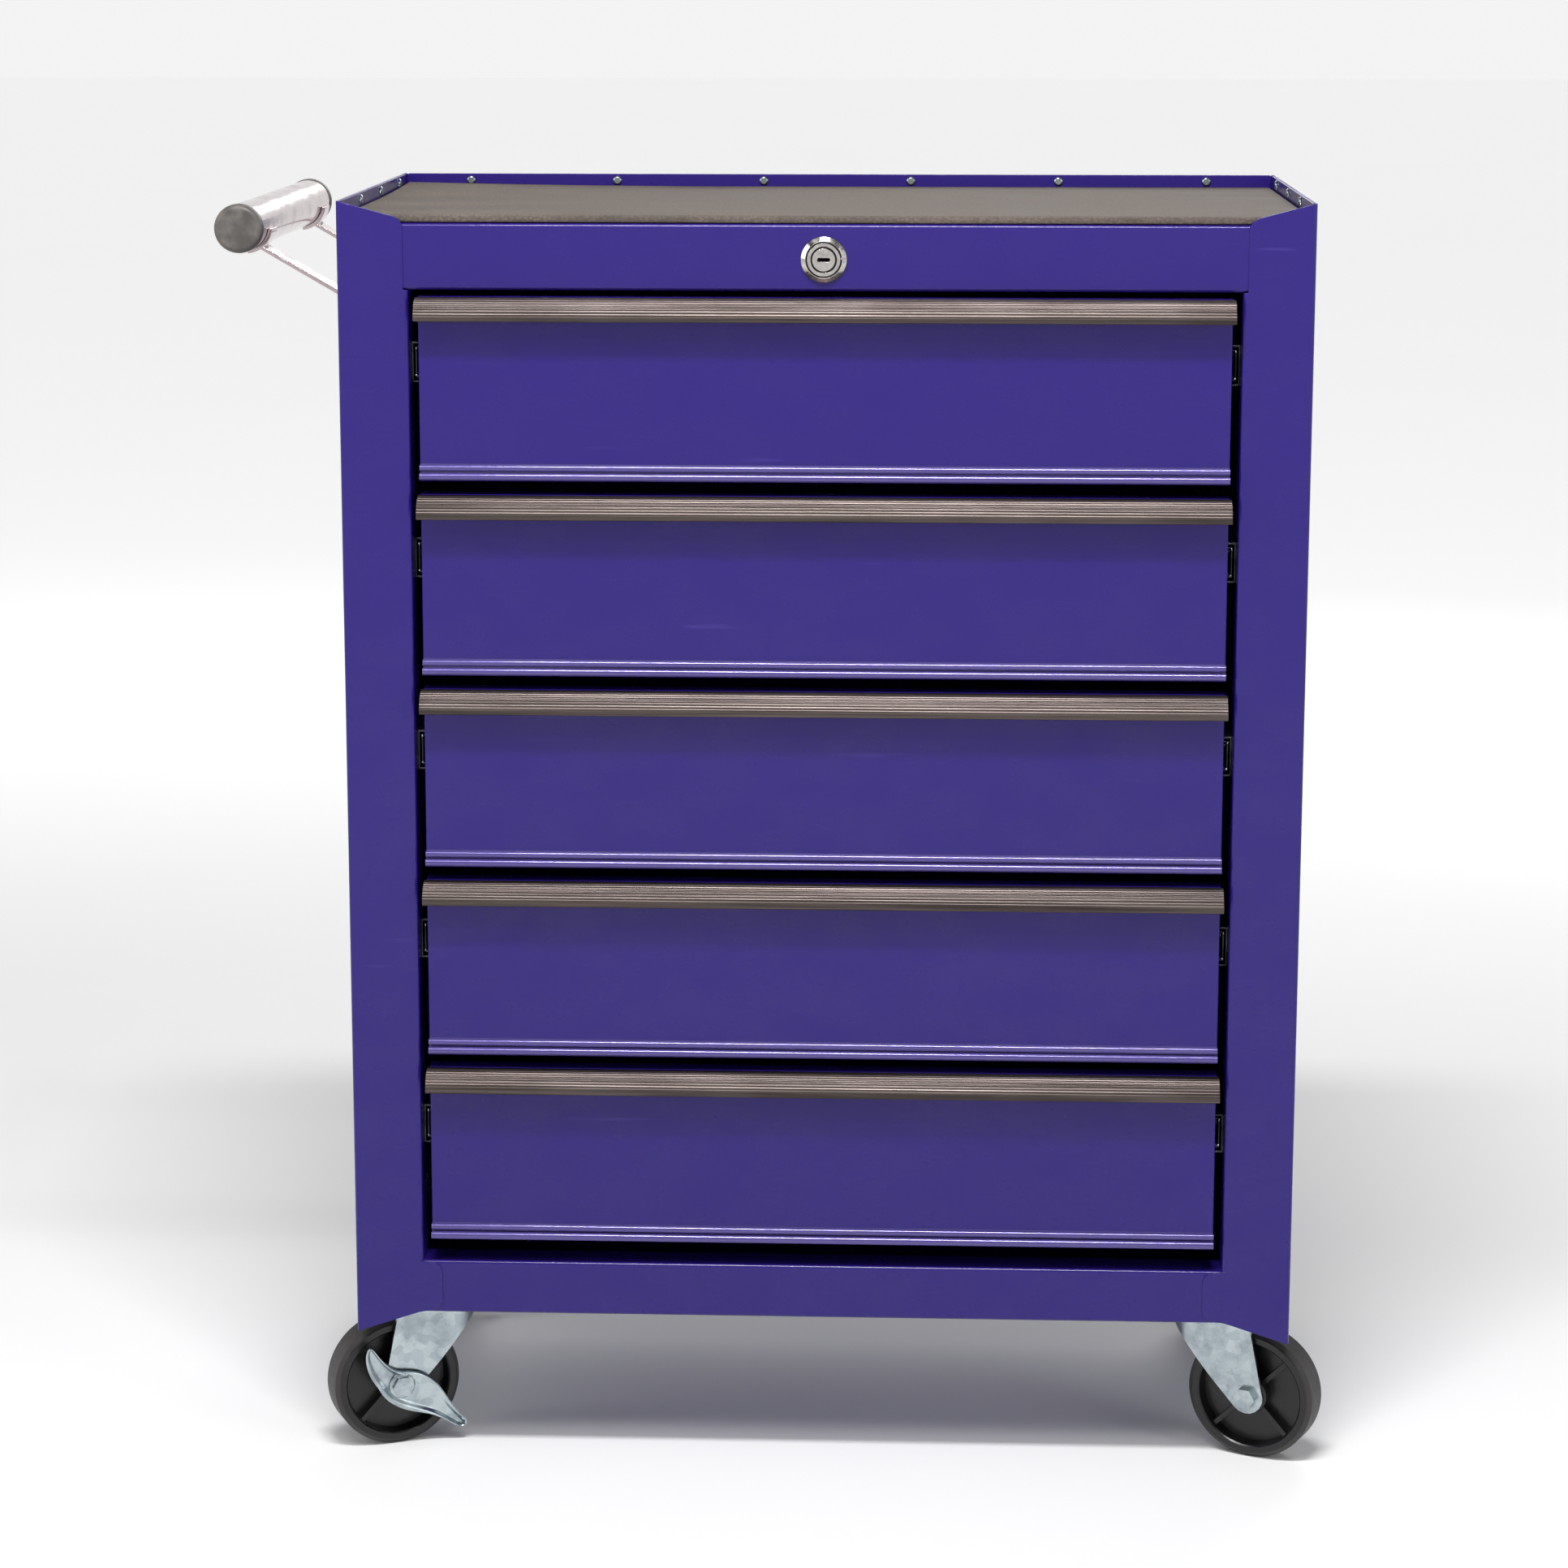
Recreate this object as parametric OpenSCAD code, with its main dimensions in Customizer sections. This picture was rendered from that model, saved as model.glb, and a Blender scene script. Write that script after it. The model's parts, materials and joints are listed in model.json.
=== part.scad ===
// Rolling tool chest: a folded-sheet cabinet with five drawers on ball slides,
// a central lock bar, a side push handle and four swivel casters.
// Lengths are in millimetres. The cabinet stands centred on X and Y with its front
// towards -Y, and everything is then moved so that the origin lies on the floor
// under the centre of the whole object's box.

/* [Cabinet] */
// Width across the side panels
cab_w = 616; // [600:1:640]
// Depth from the stiles to the back
cab_d = 330; // [326:1:340]
// Height of the rim above the floor
cab_top = 835; // [835:1:845]
// Thickness of the cabinet's sheet steel
sheet = 1; // [0.8:0.1:1]
// Outside radius of the large folds
fold_r = 2.5; // [2:0.1:3]
// Width of each front stile
stile_w = 45; // [44:1:46]
// Height of the rail over the drawers
top_rail_h = 42; // [40:1:44]
// Height of the rail under the drawers
bottom_rail_h = 36; // [34:1:38]
// How far the rim stands above the tray
rim_h = 14; // [13:1:16]
// How far each corner reaches below the bottom rail
corner_drop = 14; // [8:1:14]
// Thickness of the mat on the tray
mat_t = 5.5; // [3:0.5:6]

/* [Drawers] */
// Distance from one drawer to the next
drawer_pitch = 126; // [124:1:126]
// Height of a drawer front
front_h = 117; // [115:1:118]
// Width of a drawer front
front_w = 514; // [510:1:516]
// Depth of a drawer box
box_depth = 290; // [280:1:292]
// Height of a drawer box
box_h = 92; // [80:1:94]
// Length of the ball slides
slide_len = 285; // [270:1:286]
// How far the grip stands out from the drawer front
grip_out = 13; // [11:0.5:14]

/* [Casters] */
// Diameter of the wheels
wheel_d = 87; // [80:1:87]
// Width of the wheels
wheel_w = 24; // [22:1:25]
// Distance from the swivel axis to the axle
trail = 29; // [27:1:30]
// Angle by which the wheels rest turned outward
toe = 25; // [0:1:40]
// Distance from the cabinet's side to the swivel axis
swivel_inset_x = 44.5; // [44:0.5:48]
// Distance from the cabinet's front to the swivel axis
swivel_inset_y = 50; // [48:1:54]

/* [Handle] */
// Diameter of the handle tube
handle_d = 30; // [26:1:32]
// Length of the handle with its caps
handle_len = 300; // [260:1:310]
// Distance from the side panel to the handle's axis
handle_out = 65; // [60:1:70]
// Distance of the handle's axis below the rim
handle_below_rim = 19; // [17:1:24]

/* [Lock] */
// Distance of the lock's centre below the rim
lock_below_rim = 36; // [34:1:38]
// How far the lock bar drops when it is locked
bar_travel = 6.5; // [6:0.5:6.5]

/* [Hidden] */
$fn = 48;
FRONT = -1;
BACK = 1;
LEFT = -1;
RIGHT = 1;
DRAWERS = [1, 2, 3, 4, 5];
CORNERS = ["front_left", "front_right", "rear_left", "rear_right"];
BRAKED = ["front_left", "rear_left"];
blue = [0.13, 0.09, 0.38];
zinc = [0.78, 0.82, 0.84];
grip_grey = [0.42, 0.39, 0.38];
rubber_black = [0.07, 0.07, 0.08];

half_w = cab_w / 2;
front_y = -cab_d / 2;
back_y = cab_d / 2;
inner_x = half_w - sheet;
tray_z = cab_top - rim_h;
top_rail_z = tray_z - top_rail_h;
bottom_rail_z = 102;
opening_z = bottom_rail_z + bottom_rail_h;
floor_z = 108;
flange_h = 25;
rail_y = front_y + sheet;
rail_reach = half_w - 18;
stile_in = half_w - stile_w;
tab_w = 12.5;
rivet_y_gap = 94;
rivet_x_gap = 104;
small_r = 1.5;
bend_steps = 4;

drawer_base = opening_z + 16;
slide_up = 74;
slide_y = front_y + 14.5;
slide_t = 1.2;
box_half = stile_in - 12.5;
box_y = front_y + 14;
box_up = 8;
catch_up = 60;
bar_y = box_y + box_depth + 11;

wheel_r = wheel_d / 2;
tread_flat = wheel_w / 2 - 3;
axle_r = 5;
leg_in = 14.2;
leg_t = 2.5;
leg_out = leg_in + leg_t;
plate_z = 105.5;
crown_z = 94;
crown_r = 30;
bolt_x = 31.5;
bolt_y = 22.5;
swivel_x = half_w - swivel_inset_x;
swivel_y = cab_d / 2 - swivel_inset_y;

handle_x = -half_w - handle_out;
handle_z = cab_top - handle_below_rim;
cap_r = handle_d / 2 + 0.6;
cap_len = 9;
bracket_y = 112;
bracket_w = 22;
bracket_t = 2.5;
strap_z = cab_top - 63;

lock_z = cab_top - lock_below_rim;
lock_bore_r = 7.5;
rod_r = 3;
crank_y = bar_y - 7;

// Middle of the whole object's box, from its outermost points on each side
right_reach = swivel_x + (trail + wheel_r) * cos(toe) + tread_flat * sin(toe);
left_reach = handle_x - cap_r;
centre_x = (right_reach + left_reach) / 2;
centre_y = (back_y + front_y - grip_out) / 2;

// ---- Folded sheet ----------------------------------------------------------

function unit(v) = v / norm(v);
function left_of(v) = [-v[1], v[0]];
function cross_z(a, b) = a[0] * b[1] - a[1] * b[0];
function turned(v, angle) = [v[0] * cos(angle) - v[1] * sin(angle), v[0] * sin(angle) + v[1] * cos(angle)];
function reversed(list) = [for (i = [len(list) - 1 : -1 : 0]) list[i]];

// The points round one bend at p, between directions a and b, on the line that
// lies `off` to the left of the path
function bend_points(p, a, b, off, t, r) =
    let (
        side = cross_z(a, b) > 0 ? 1 : -1,
        angle = acos(max(-1, min(1, a * b))),
        path_r = side > 0 ? r : r - t,
        line_r = side > 0 ? r - off : r - t + off,
        centre = p - a * path_r * tan(angle / 2) + side * path_r * left_of(a)
    )
    [for (k = [0 : bend_steps]) centre - side * line_r * turned(left_of(a), side * angle * k / bend_steps)];

function strip_line(path, off, t, r) = let (last = len(path) - 1) concat(
    [path[0] + off * left_of(unit(path[1] - path[0]))],
    [for (i = [1 : 1 : last - 1])
        each bend_points(path[i], unit(path[i] - path[i - 1]), unit(path[i + 1] - path[i]), off, t, r)],
    [path[last] + off * left_of(unit(path[last] - path[last - 1]))]
);

// Outline of a strip of sheet with thickness t to the left of its path
function folded(path, t = sheet, r = fold_r) =
    concat(strip_line(path, 0, t, r), reversed(strip_line(path, t, t, r)));

// Extrusions along X of a (y, z) outline and along Y of an (x, z) outline
module along_x(from, to) translate([from, 0, 0]) rotate([90, 0, 90]) linear_extrude(to - from) children();
module along_y(from, to) translate([0, to, 0]) rotate([90, 0, 0]) linear_extrude(to - from) children();
module block(low, high) translate(low) cube(high - low);
module mirror_if(yes, axis) if (yes) mirror(axis) children(); else children();
module both_sides() for (side = [LEFT, RIGHT]) mirror_if(side == LEFT, [1, 0, 0]) children();

// ---- Cabinet ---------------------------------------------------------------

// Outline of the stile seen from the front, on the right-hand side
function stile_outline() = let (
    tab_x = stile_in - tab_w,
    tab_low = bottom_rail_z + 2,
    tab_high = opening_z - 1,
    tab_round = 7,
    slope_x = half_w - 36,
    slope_z = cab_top - 9.5,
    edge_x = stile_in + 3
) concat(
    [[half_w + 1, bottom_rail_z - corner_drop], [half_w + 1, cab_top], [half_w, cab_top]],
    [[slope_x, slope_z], [slope_x - 4, slope_z - 2.2], [edge_x, tray_z - 1], [edge_x, top_rail_z]],
    [[stile_in + fold_r, top_rail_z], [stile_in + fold_r, opening_z]],
    [for (k = [0 : bend_steps]) [tab_x + tab_round, tab_high - tab_round]
        + tab_round * turned([0, 1], 90 * k / bend_steps)],
    [for (k = [0 : bend_steps]) [tab_x + tab_round, tab_low + tab_round]
        + tab_round * turned([-1, 0], 90 * k / bend_steps)],
    [[stile_in + 4, bottom_rail_z]]
);

// Outline of the side seen from the right, with a drop at each corner
function side_outline() = let (low = bottom_rail_z - corner_drop, run = stile_w) [
    [front_y - 1, low], [front_y, low], [front_y + run, bottom_rail_z], [back_y - run, bottom_rail_z],
    [back_y, low], [back_y + 1, low], [back_y + 1, cab_top], [front_y - 1, cab_top]
];

// One folded panel makes the stile, the side and the narrow flange at the back
module side_panel() {
    wrap = [[stile_in - tab_w - 1, front_y], [half_w, front_y], [half_w, back_y], [half_w - 16, back_y]];
    intersection() {
        linear_extrude(cab_top + 1) polygon(folded(wrap));
        along_y(front_y - 1, back_y + 1) polygon(stile_outline());
        along_x(0, half_w + 1) polygon(side_outline());
    }
    // the stile's inner edge folds back and carries the front of the slides
    return_path = [[stile_in, front_y + 25], [stile_in, front_y], [stile_in + fold_r + 1, front_y]];
    translate([0, 0, opening_z]) linear_extrude(top_rail_z - opening_z) polygon(folded(return_path));
}

module left_side_panel() color(blue) mirror([1, 0, 0]) side_panel();
module right_side_panel() color(blue) side_panel();

module back_panel() color(blue) {
    profile = [[back_y - 14, bottom_rail_z + 1], [back_y - 1, bottom_rail_z + 1], [back_y - 1, cab_top - 0.4]];
    along_x(-inner_x + 2.2, inner_x - 2.2) polygon(folded(profile, r = 2));
}

module bottom_panel() color(blue) {
    pan = [[front_y + 2, floor_z + flange_h], [front_y + 2, floor_z],
           [back_y - 2, floor_z], [back_y - 2, floor_z + flange_h]];
    difference() {
        union() {
            along_x(-inner_x + 0.1, inner_x - 0.1) polygon(folded(pan));
            both_sides() block([inner_x - 1.1, front_y + 5, floor_z], [inner_x - 0.1, back_y - 5, floor_z + flange_h]);
        }
        at_casters() at_bolts() translate([0, 0, floor_z - 1]) cylinder(r = 4.3, h = 4);
    }
}

module top_tray() color(blue) {
    rim = cab_top - 1;
    pan = [[-inner_x, rim], [-inner_x, tray_z - sheet], [inner_x, tray_z - sheet], [inner_x, rim]];
    along_y(rail_y + 13, back_y - 2 - sheet) polygon(folded(pan, r = 2));
    block([-inner_x + 2, back_y - 2 - sheet, tray_z - sheet], [inner_x - 2, back_y - 2, rim]);
}

module top_rail() color(blue) {
    channel = [[rail_y + 13, tray_z], [rail_y, tray_z], [rail_y, top_rail_z], [rail_y + 14, top_rail_z]];
    difference() {
        along_x(-rail_reach, rail_reach) polygon(folded(channel));
        translate([0, front_y, lock_z]) rotate([-90, 0, 0]) cylinder(r = 9.8, h = 4);
    }
}

module bottom_rail() color(blue) {
    channel = [[rail_y + 24, opening_z], [rail_y, opening_z], [rail_y, bottom_rail_z], [rail_y + 12, bottom_rail_z]];
    along_x(-rail_reach, rail_reach) polygon(folded(channel));
}

module tray_mat() color([0.45, 0.41, 0.38])
    block([-inner_x + 2.5, front_y + 3, tray_z], [inner_x - 2.5, back_y - 4.5, tray_z + mat_t]);

// Z-shaped posts at the back hold the rear ends of the slides
module rear_posts() color(blue) both_sides() {
    post = [[stile_in + sheet, back_y - 65], [stile_in + sheet, back_y - 30],
            [inner_x - 0.1, back_y - 30], [inner_x - 0.1, back_y - 15]];
    foot_z = floor_z + flange_h + 1;
    translate([0, 0, foot_z]) linear_extrude(tray_z - sheet - 0.5 - foot_z) polygon(folded(post, r = 2));
}

// ---- Ball slides -----------------------------------------------------------

function drawer_z(n) = drawer_base + drawer_pitch * (len(DRAWERS) - n);

// A channel with its web against x_web and its flanges reaching to x_end
module channel(x_web, x_end, half_h, from, to) {
    way = sign(x_end - x_web);
    along_y(from, to) polygon([
        [x_web, -half_h], [x_end, -half_h], [x_end, -half_h + slide_t], [x_web + way * slide_t, -half_h + slide_t],
        [x_web + way * slide_t, half_h - slide_t], [x_end, half_h - slide_t], [x_end, half_h], [x_web, half_h]
    ]);
}

module cabinet_slides() color(zinc) both_sides() for (n = DRAWERS)
    translate([0, 0, drawer_z(n) + slide_up]) channel(stile_in, stile_in - 9.5, 13, slide_y, slide_y + slide_len);

module middle_slides(n) color(zinc) both_sides() translate([0, 0, drawer_z(n) + slide_up])
    channel(stile_in - 2, stile_in - 10.9, 10, slide_y + 2, slide_y + slide_len - 3);

module drawer_slides(n) color(zinc) both_sides() translate([0, 0, drawer_z(n) + slide_up])
    channel(box_half, box_half + 8.3, 8, slide_y, slide_y + slide_len);

// ---- Drawers ---------------------------------------------------------------

module drawer_box(n) color(blue) translate([0, 0, drawer_z(n)]) {
    top = box_up + box_h;
    hem = 4.5;
    tub = [[-box_half + hem, top], [-box_half, top], [-box_half, box_up],
           [box_half, box_up], [box_half, top], [box_half - hem, top]];
    back = box_y + box_depth;
    along_y(box_y, back) polygon(folded(tub));
    for (y = [box_y, back - sheet]) along_y(y, y + sheet) polygon(strip_line(tub, 0, sheet, fold_r));
    // catch for the lock bar's hook
    block([-6, back - sheet, catch_up], [6, back + 9, catch_up + slide_t]);
    block([-6, back + 9 - slide_t, catch_up], [6, back + 9, catch_up + 7.2]);
}

// Two rolled beads run along the foot of each drawer front
module bead(out, up, r, inset = 0) translate([-front_w / 2 + inset, front_y - out, up])
    rotate([0, 90, 0]) cylinder(r = r, h = front_w - 2 * inset);

module drawer_front(n) color(blue) translate([0, 0, drawer_z(n)]) {
    half = front_w / 2;
    plan = [[-half, box_y], [-half, front_y], [half, front_y], [half, box_y]];
    lip = [[box_y, front_h], [front_y, front_h], [front_y, front_h - 6]];
    difference() {
        union() {
            linear_extrude(front_h - small_r) polygon(folded(plan, r = small_r));
            bead(0.4, 8, 2.2);
            bead(1.8, 2.6, 2.6);
        }
        bead(0.4, 8, 1.2, -1);
        bead(1.8, 2.6, 1.6, -1);
    }
    along_x(-half, half) polygon(folded(lip, r = small_r));
    block([-half + 1, front_y + 3.5, 0], [half - 1, box_y, sheet]);
}

// Hollow ribbed grip: a back leg on the drawer front and a quarter-round shell
function grip_shell() = let (
    r = grip_out - 1,
    wall = 1.6,
    ribs = 20,
    rib_depth = 0.45,
    leg_t = 1.2,
    centre = [1, -0.2 - r],
    lip_z = centre[1] - 2.6
) concat(
    [for (k = [0 : ribs]) centre + (r - rib_depth * (k % 2)) * [sin(90 * k / ribs), cos(90 * k / ribs)]],
    [[grip_out, lip_z + 0.6], [grip_out - 0.6, lip_z], [grip_out - wall, lip_z]],
    [for (k = [6 : -1 : 1]) centre + (r - wall) * [sin(15 * k), cos(15 * k)]],
    [[leg_t, centre[1] + r - wall], [leg_t, lip_z - 1.2], [0, lip_z - 1.2], [0, -0.2]]
);

module drawer_grip(n) color(grip_grey) translate([0, front_y, drawer_z(n) + front_h])
    along_x(-front_w / 2 - 1.5, front_w / 2 + 1.5) mirror([1, 0]) polygon(grip_shell());

module drawer_liner(n) color(rubber_black) translate([0, 0, drawer_z(n)])
    block([-box_half + 3.3, box_y + 3.3, box_up + sheet], [box_half - 3.3, box_y + box_depth - 3.3, box_up + sheet + 2]);

// ---- Lock ------------------------------------------------------------------

module lathe_y(profile) rotate([-90, 0, 0]) rotate_extrude() polygon(profile);

module lock_housing() color(zinc) translate([0, 0, lock_z]) {
    translate([0, front_y - 2.5, 0]) lathe_y([[lock_bore_r, 0], [11.5, 0], [14.5, 2.2], [14.5, 3.5],
        [9.5, 3.5], [9.5, 28], [lock_bore_r, 28]]);
    translate([0, rail_y + sheet, 0]) rotate([-90, 30, 0]) difference() {
        cylinder(r = 13.5, h = 4, $fn = 6);
        translate([0, 0, -1]) cylinder(r = 9.8, h = 6);
    }
}

module lock_plug() color(zinc) translate([0, front_y - 3, lock_z]) difference() {
    rotate([-90, 0, 0]) cylinder(r = lock_bore_r - 0.06, h = 30);
    block([-4, -1, -0.8], [4, 7, 0.8]);
}

// The rod carries the key's turn to a crank at the back
module lock_rod() color(zinc) translate([0, 0, lock_z]) {
    translate([0, front_y + 27.1, 0]) rotate([-90, 0, 0]) cylinder(r = rod_r, h = crank_y - front_y - 27.1);
    translate([0, crank_y, 0]) rotate([-90, 0, 0]) cylinder(r = 5, h = 3);
    block([0, crank_y, -3.5], [bar_travel, crank_y + 3, 3.5]);
    translate([bar_travel, crank_y, 0]) rotate([-90, 0, 0]) cylinder(r = 3.5, h = 3);
    translate([bar_travel, crank_y, 0]) rotate([-90, 0, 0]) cylinder(r = 2, h = 11);
}

module lock_bar() color(zinc) {
    bar_t = 2;
    difference() {
        union() {
            block([-8, bar_y, opening_z + 12], [8, bar_y + bar_t, lock_z]);
            block([-8, bar_y, lock_z - 10], [14, bar_y + bar_t, lock_z + 10]);
        }
        block([-3, bar_y - 1, lock_z - 3.9], [bar_travel + 3, bar_y + bar_t + 1, lock_z + 3.9]);
    }
    for (n = DRAWERS) translate([0, bar_y - 8, drawer_z(n) + catch_up]) {
        block([-6, 0, 15], [6, 8.5, 15 + slide_t]);
        block([-6, 0, 8.4], [6, slide_t, 15 + slide_t]);
    }
}

// Loops on the back panel keep the bar upright, and a hanger carries the rod
module lock_guides() color(zinc) {
    for (z = [opening_z + 32, drawer_z(4) + 140, drawer_z(2) + 140]) translate([0, 0, z]) {
        difference() {
            block([-12, bar_y - 1.8, 0], [12, back_y - 2, 10]);
            block([-8.6, bar_y - 0.6, -1], [8.6, back_y, 11]);
        }
        both_sides() block([10, back_y - 3.2, 0], [22, back_y - 2, 10]);
    }
    difference() {
        block([-12, crank_y - 14, lock_z - 9], [12, crank_y - 12.8, tray_z - sheet]);
        translate([0, crank_y - 16, lock_z]) rotate([-90, 0, 0]) cylinder(r = rod_r + 0.08, h = 6);
    }
}

// ---- Handle ----------------------------------------------------------------

module at_handle() translate([handle_x, 0, handle_z]) children();

module handle_tube() color(zinc) at_handle() difference() {
    reach = handle_len / 2 - cap_len;
    along_y(-reach, reach) circle(d = handle_d);
    along_y(-reach - 1, reach + 1) circle(d = handle_d - 3);
}

module handle_end_caps() color(rubber_black) for (end = [FRONT, BACK]) mirror_if(end == BACK, [0, 1, 0])
    at_handle() translate([0, -handle_len / 2, 0]) {
        plug_r = handle_d / 2 - 1.6;
        lathe_y(concat([[0, 0]], [for (k = [0 : 6]) [cap_r - 4, 4] + 4 * [sin(15 * k), -cos(15 * k)]],
            [[cap_r, cap_len], [plug_r, cap_len], [plug_r, cap_len + 12], [0, cap_len + 12]]));
    }

// A strap rises from the side panel and cups the underside of the tube
module handle_brackets() color(zinc) for (y = [-bracket_y, bracket_y]) {
    saddle_r = handle_d / 2 + 0.1;
    strap = [[-half_w, strap_z - 30], [-half_w, strap_z], [handle_x + 10, handle_z - 12]];
    along_y(y - bracket_w / 2, y + bracket_w / 2) {
        difference() {
            polygon(folded(strap, bracket_t, 5));
            translate([handle_x, handle_z]) circle(r = saddle_r);
        }
        translate([handle_x, handle_z]) intersection() {
            difference() {
                circle(r = saddle_r + bracket_t);
                circle(r = saddle_r);
            }
            polygon([[0, 0], 40 * [cos(-85), sin(-85)], 50 * [cos(-45), sin(-45)], 40 * [cos(-5), sin(-5)]]);
        }
    }
}

// ---- Casters ---------------------------------------------------------------

function is_rear(corner) = corner[0] == "r";
function is_left(corner) = corner[len(corner) - 4] == "l";

module at_corner(corner) mirror_if(is_rear(corner), [0, 1, 0]) mirror_if(is_left(corner), [1, 0, 0])
    translate([swivel_x, -swivel_y, 0]) children();

// Inside, +X points from the swivel axis to the axle
module at_trail(corner) at_corner(corner) rotate([0, 0, -toe]) children();
module at_casters() for (c = CORNERS) at_corner(c) children();
module at_bolts() for (x = [-bolt_x, bolt_x], y = [-bolt_y, bolt_y]) translate([x, y, 0]) children();

// Fixed half of each caster: plate, ball race and kingpin
module caster_plates() color(zinc) at_casters() {
    difference() {
        block([-40, -31, plate_z], [40, 31, floor_z]);
        at_bolts() translate([0, 0, plate_z - 1]) cylinder(r = 4.3, h = 5);
    }
    translate([0, 0, crown_z + 3]) cylinder(r = 19, h = plate_z - crown_z - 2.9);
    translate([0, 0, crown_z - 1]) cylinder(r = 4.95, h = 6);
    translate([0, 0, crown_z - 3.3]) cylinder(r1 = 6, r2 = 8.5, h = 2.8);
}

// Seen from above the fork is a horseshoe that closes round the front of the wheel
function horseshoe(half, nose, end) = let (steps = 24) concat(
    [[end, -half]],
    [for (k = [0 : steps]) [8 - nose * sin(180 * k / steps), -half * cos(180 * k / steps)]],
    [[end, half]]
);

function fork_side() = let (boss = 11.5) concat(
    [[-crown_r - 1, crown_z + leg_t], [-crown_r - 1, 89]],
    [for (k = [0 : 8]) [trail, wheel_r] + boss * [cos(-134 + 20 * k), sin(-134 + 20 * k)]],
    [[31, crown_z - 6], [25, crown_z + leg_t]]
);

module caster_fork(corner) {
    braked = search([corner], BRAKED) != [[]];
    head_gap = braked ? 2.5 : 0.05;
    color(zinc) at_trail(corner) {
        difference() {
            union() {
                intersection() {
                    difference() {
                        linear_extrude(crown_z + leg_t) polygon(horseshoe(leg_out, 38, 60));
                        translate([0, 0, -1]) linear_extrude(crown_z + 5) polygon(horseshoe(leg_in, 35.5, 61));
                    }
                    along_y(-leg_out - 1, leg_out + 1) polygon(fork_side());
                }
                translate([0, 0, crown_z]) cylinder(r = crown_r - 1.5, h = leg_t);
                translate([0, 0, crown_z]) cylinder(r = 24, h = 7.5);
            }
            translate([0, 0, crown_z + leg_t]) cylinder(r = 20, h = 8);
            translate([0, 0, crown_z - 1]) cylinder(r = 5, h = 8);
            translate([trail, -30, wheel_r]) rotate([-90, 0, 0]) cylinder(r = axle_r + 0.1, h = 60);
        }
        translate([trail, 0, wheel_r]) rotate([-90, 0, 0]) axle_bolt(leg_out + head_gap, leg_out + 0.05);
    }
}

// Axle bolt along Z with its hex head below and its nut above
module axle_bolt(head_at, nut_at) {
    translate([0, 0, -head_at]) cylinder(r = axle_r, h = head_at + nut_at);
    translate([0, 0, -head_at - 5]) cylinder(r = 7.5, h = 5, $fn = 6);
    translate([0, 0, nut_at]) cylinder(r = 7.5, h = 6, $fn = 6);
    translate([0, 0, nut_at]) cylinder(r1 = 4, r2 = 3.4, h = 8);
}

module caster_wheel(corner) color(rubber_black) at_trail(corner) translate([trail, 0, wheel_r]) {
    w = wheel_w / 2;
    hub_w = leg_in - 0.6;
    rim_r = wheel_r - 8;
    half = [[axle_r + 0.07, hub_w], [11, hub_w], [12.5, hub_w - 1.5], [12.5, 2.5], [rim_r - 1, 2.5], [rim_r, w - 1],
            [rim_r + 1, w], [wheel_r - 3, w], [wheel_r, tread_flat]];
    lathe_y(concat(half, [for (p = reversed(half)) [p[0], -p[1]]]));
    for (a = [45 : 90 : 315]) rotate([0, a, 0]) block([11.5, -9, -1.6], [rim_r + 0.5, 9, 1.6]);
}

// Foot lever of a brake, seen from the side of the wheel with the axle at the origin
lever_outline = [
    [22, 30], [24, 20], [17, 4], [9, -9], [0, -17], [-12, -22], [-25, -23], [-42, -34], [-45, -31],
    [-29, -13], [-22, 0], [-15, 8], [-6, 9.5], [4, 10], [15, 20]
];

module caster_brake(corner) color(zinc) at_trail(corner) translate([trail, 0, wheel_r]) difference() {
    union() {
        along_y(-leg_out - 2.3, -leg_out - 0.3) polygon(lever_outline);
        along_y(-leg_out - 18, -leg_out - 0.3)
            polygon([[-25, -23], [-42, -34], [-45, -31], [-43.8, -30.2], [-42, -31.4], [-26, -21]]);
    }
    translate([0, -40, 0]) rotate([-90, 0, 0]) cylinder(r = axle_r + 0.1, h = 40);
}

// ---- Fasteners -------------------------------------------------------------

module rivet() {
    cylinder(r1 = 2.2, r2 = 3.2, h = 0.9);
    translate([0, 0, 0.9]) cylinder(r = 3.2, h = 0.6);
}

module cabinet_fasteners() color(zinc) {
    head_z = cab_top - 5;
    at_casters() at_bolts() {
        translate([0, 0, plate_z - 5]) cylinder(r = 7, h = 5, $fn = 6);
        translate([0, 0, plate_z - 5]) cylinder(r = 4, h = 18);
        translate([0, 0, floor_z + sheet]) cylinder(r = 7, h = 6, $fn = 6);
    }
    for (k = [-2.5 : 2.5]) translate([k * rivet_x_gap, back_y - 4.5, head_z]) rotate([-90, 0, 0]) rivet();
    both_sides() for (k = [-1 : 1]) translate([inner_x - 2.5, k * rivet_y_gap + 27, head_z]) rotate([0, 90, 0]) rivet();
    for (y = [-bracket_y, bracket_y], z = [strap_z - 24, strap_z - 12])
        translate([-half_w - bracket_t - 3, y, z]) rotate([0, 90, 0]) cylinder(r1 = 3, r2 = 5, h = 3);
}

// ---- What is drawn ---------------------------------------------------------

module placed() translate([-centre_x, -centre_y, 0]) children();

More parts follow.
